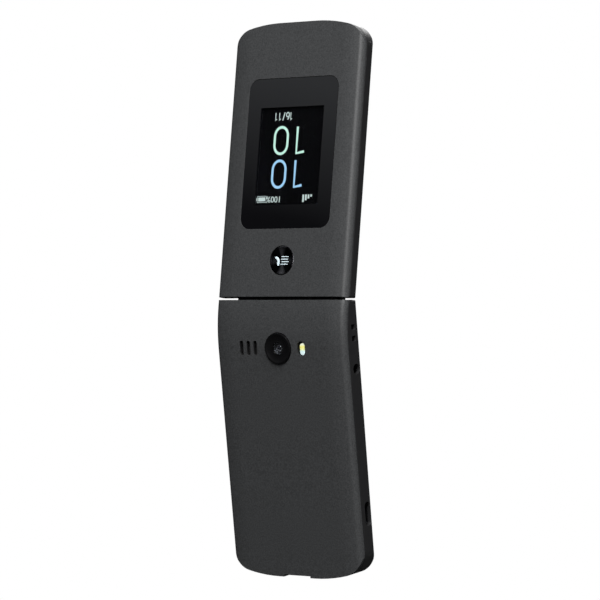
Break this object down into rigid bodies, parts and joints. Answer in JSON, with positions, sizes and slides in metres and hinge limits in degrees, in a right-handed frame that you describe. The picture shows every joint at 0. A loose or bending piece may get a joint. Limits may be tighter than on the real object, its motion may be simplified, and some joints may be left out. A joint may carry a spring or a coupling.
{
  "type": "flip phone",
  "caption": "Clamshell mobile phone that opens on a centre hinge barrel, with an outer window and round button on the lid and a lift-off rear cover with camera.",
  "frame": {"origin": "middle of the base's bottom end, on which the phone stands in its stored pose", "axes": "+Z from the bottom end of the base up towards the hinge, +Y towards the rear cover with the camera, -Y the keypad side, -X the side with the headset jack and charging port; stored fully open with the lid leaning 13.8 degrees towards -Y"},
  "size_m": [0.058, 0.0338, 0.1958],
  "materials": {
    "textured_cover": "fine textured matte",
    "dark_frame": "matte",
    "inner_chassis": "matte",
    "gloss_black": "gloss",
    "window_black": "gloss",
    "lens_glass": "polished",
    "flash_lens": "frosted",
    "display": "gloss",
    "key_plastic": "satin",
    "spun_black_metal": "spun",
    "steel": "brushed",
    "contact_brass": "plated",
    "board_green": "solder mask",
    "clear_film": "film",
    "flex_amber": "film",
    "black_rubber": "matte",
    "battery_wrap": "satin",
    "module_grey": "matte"
  },
  "bodies": {
    "base": {"base_front_case": "dark_frame", "rear_chassis": "inner_chassis", "camera_ring": "gloss_black", "camera_lens": "lens_glass", "camera_module": "module_grey", "flash_lens": "flash_lens", "speaker_mesh": "black_rubber", "speaker": "module_grey", "headset_jack": "gloss_black", "charging_socket": "steel", "main_board": "board_green", "dome_sheet": "clear_film", "battery_contacts": "contact_brass", "card_reader": "steel", "vibration_motor": "steel", "microphone": "steel", "side_switch": "board_green", "base_screws": "steel", "hinge_pin": "steel"},
    "lid": {"lid_inner_case": "dark_frame", "lid_outer_case": "textured_cover", "outer_window": "window_black", "outer_display": "display", "inner_window": "window_black", "main_display": "display", "lid_plate": "steel", "lid_board": "board_green", "earpiece_mesh": "black_rubber", "earpiece": "module_grey", "lid_bumpers": "black_rubber", "lid_screws": "steel", "magnet": "steel", "hinge_cartridge": "steel", "hinge_flex": "flex_amber"},
    "rear_cover": {"rear_cover": "textured_cover"},
    "battery": {"battery": "battery_wrap"},
    "volume_rocker": {"volume_rocker": "key_plastic"},
    "lid_button": {"lid_button": "spun_black_metal"},
    "key_1": {"key_1": "key_plastic"},
    "key_2": {"key_2": "key_plastic"},
    "key_3": {"key_3": "key_plastic"},
    "key_4": {"key_4": "key_plastic"},
    "key_5": {"key_5": "key_plastic"},
    "key_6": {"key_6": "key_plastic"},
    "key_7": {"key_7": "key_plastic"},
    "key_8": {"key_8": "key_plastic"},
    "key_9": {"key_9": "key_plastic"},
    "key_star": {"key_star": "key_plastic"},
    "key_0": {"key_0": "key_plastic"},
    "key_hash": {"key_hash": "key_plastic"},
    "key_message": {"key_message": "key_plastic"},
    "key_clear": {"key_clear": "key_plastic"},
    "key_loudspeaker": {"key_loudspeaker": "key_plastic"},
    "key_soft_left": {"key_soft_left": "key_plastic"},
    "key_soft_right": {"key_soft_right": "key_plastic"},
    "key_call": {"key_call": "key_plastic"},
    "key_end": {"key_end": "key_plastic"},
    "nav_ring": {"nav_ring": "key_plastic"},
    "key_ok": {"key_ok": "key_plastic"}
  },
  "joints": [
    {"name": "lid_hinge", "type": "hinge", "parent": "base", "child": "lid", "pos_m": [0, -0.00453, 0.0985], "axis": [1, 0, 0], "range_deg": [0, 166.2]},
    {"name": "rear_cover_lift", "type": "slide", "parent": "base", "child": "rear_cover", "axis": [0, 1, 0], "range_m": [0, 0.03]},
    {"name": "battery_lift", "type": "slide", "parent": "base", "child": "battery", "axis": [0, 1, 0], "range_m": [0, 0.015]},
    {"name": "volume_press", "type": "slide", "parent": "base", "child": "volume_rocker", "axis": [-1, 0, 0], "range_m": [0, 0.0003], "stiffness_N_per_m": 400, "springref_m": -0.0003},
    {"name": "lid_button_press", "type": "slide", "parent": "lid", "child": "lid_button", "axis": [0, -0.9711, -0.2385], "range_m": [0, 0.0003], "stiffness_N_per_m": 400, "springref_m": -0.0003},
    {"name": "key_1_press", "type": "slide", "parent": "base", "child": "key_1", "axis": [0, 1, 0], "range_m": [0, 0.0003], "stiffness_N_per_m": 400, "springref_m": -0.0003},
    {"name": "key_2_press", "type": "slide", "parent": "base", "child": "key_2", "axis": [0, 1, 0], "range_m": [0, 0.0003], "stiffness_N_per_m": 400, "springref_m": -0.0003},
    {"name": "key_3_press", "type": "slide", "parent": "base", "child": "key_3", "axis": [0, 1, 0], "range_m": [0, 0.0003], "stiffness_N_per_m": 400, "springref_m": -0.0003},
    {"name": "key_4_press", "type": "slide", "parent": "base", "child": "key_4", "axis": [0, 1, 0], "range_m": [0, 0.0003], "stiffness_N_per_m": 400, "springref_m": -0.0003},
    {"name": "key_5_press", "type": "slide", "parent": "base", "child": "key_5", "axis": [0, 1, 0], "range_m": [0, 0.0003], "stiffness_N_per_m": 400, "springref_m": -0.0003},
    {"name": "key_6_press", "type": "slide", "parent": "base", "child": "key_6", "axis": [0, 1, 0], "range_m": [0, 0.0003], "stiffness_N_per_m": 400, "springref_m": -0.0003},
    {"name": "key_7_press", "type": "slide", "parent": "base", "child": "key_7", "axis": [0, 1, 0], "range_m": [0, 0.0003], "stiffness_N_per_m": 400, "springref_m": -0.0003},
    {"name": "key_8_press", "type": "slide", "parent": "base", "child": "key_8", "axis": [0, 1, 0], "range_m": [0, 0.0003], "stiffness_N_per_m": 400, "springref_m": -0.0003},
    {"name": "key_9_press", "type": "slide", "parent": "base", "child": "key_9", "axis": [0, 1, 0], "range_m": [0, 0.0003], "stiffness_N_per_m": 400, "springref_m": -0.0003},
    {"name": "key_star_press", "type": "slide", "parent": "base", "child": "key_star", "axis": [0, 1, 0], "range_m": [0, 0.0003], "stiffness_N_per_m": 400, "springref_m": -0.0003},
    {"name": "key_0_press", "type": "slide", "parent": "base", "child": "key_0", "axis": [0, 1, 0], "range_m": [0, 0.0003], "stiffness_N_per_m": 400, "springref_m": -0.0003},
    {"name": "key_hash_press", "type": "slide", "parent": "base", "child": "key_hash", "axis": [0, 1, 0], "range_m": [0, 0.0003], "stiffness_N_per_m": 400, "springref_m": -0.0003},
    {"name": "key_message_press", "type": "slide", "parent": "base", "child": "key_message", "axis": [0, 1, 0], "range_m": [0, 0.0003], "stiffness_N_per_m": 400, "springref_m": -0.0003},
    {"name": "key_clear_press", "type": "slide", "parent": "base", "child": "key_clear", "axis": [0, 1, 0], "range_m": [0, 0.0003], "stiffness_N_per_m": 400, "springref_m": -0.0003},
    {"name": "key_loudspeaker_press", "type": "slide", "parent": "base", "child": "key_loudspeaker", "axis": [0, 1, 0], "range_m": [0, 0.0003], "stiffness_N_per_m": 400, "springref_m": -0.0003},
    {"name": "key_soft_left_press", "type": "slide", "parent": "base", "child": "key_soft_left", "axis": [0, 1, 0], "range_m": [0, 0.0003], "stiffness_N_per_m": 400, "springref_m": -0.0003},
    {"name": "key_soft_right_press", "type": "slide", "parent": "base", "child": "key_soft_right", "axis": [0, 1, 0], "range_m": [0, 0.0003], "stiffness_N_per_m": 400, "springref_m": -0.0003},
    {"name": "key_call_press", "type": "slide", "parent": "base", "child": "key_call", "axis": [0, 1, 0], "range_m": [0, 0.0003], "stiffness_N_per_m": 400, "springref_m": -0.0003},
    {"name": "key_end_press", "type": "slide", "parent": "base", "child": "key_end", "axis": [0, 1, 0], "range_m": [0, 0.0003], "stiffness_N_per_m": 400, "springref_m": -0.0003},
    {"name": "nav_ring_press", "type": "slide", "parent": "base", "child": "nav_ring", "axis": [0, 1, 0], "range_m": [0, 0.0003], "stiffness_N_per_m": 400, "springref_m": -0.0003},
    {"name": "key_ok_press", "type": "slide", "parent": "base", "child": "key_ok", "axis": [0, 1, 0], "range_m": [0, 0.0003], "stiffness_N_per_m": 400, "springref_m": -0.0003}
  ],
  "couplings": [
    {"joint": "battery_lift", "follows": "rear_cover_lift", "ratio": 0.5}
  ]
}
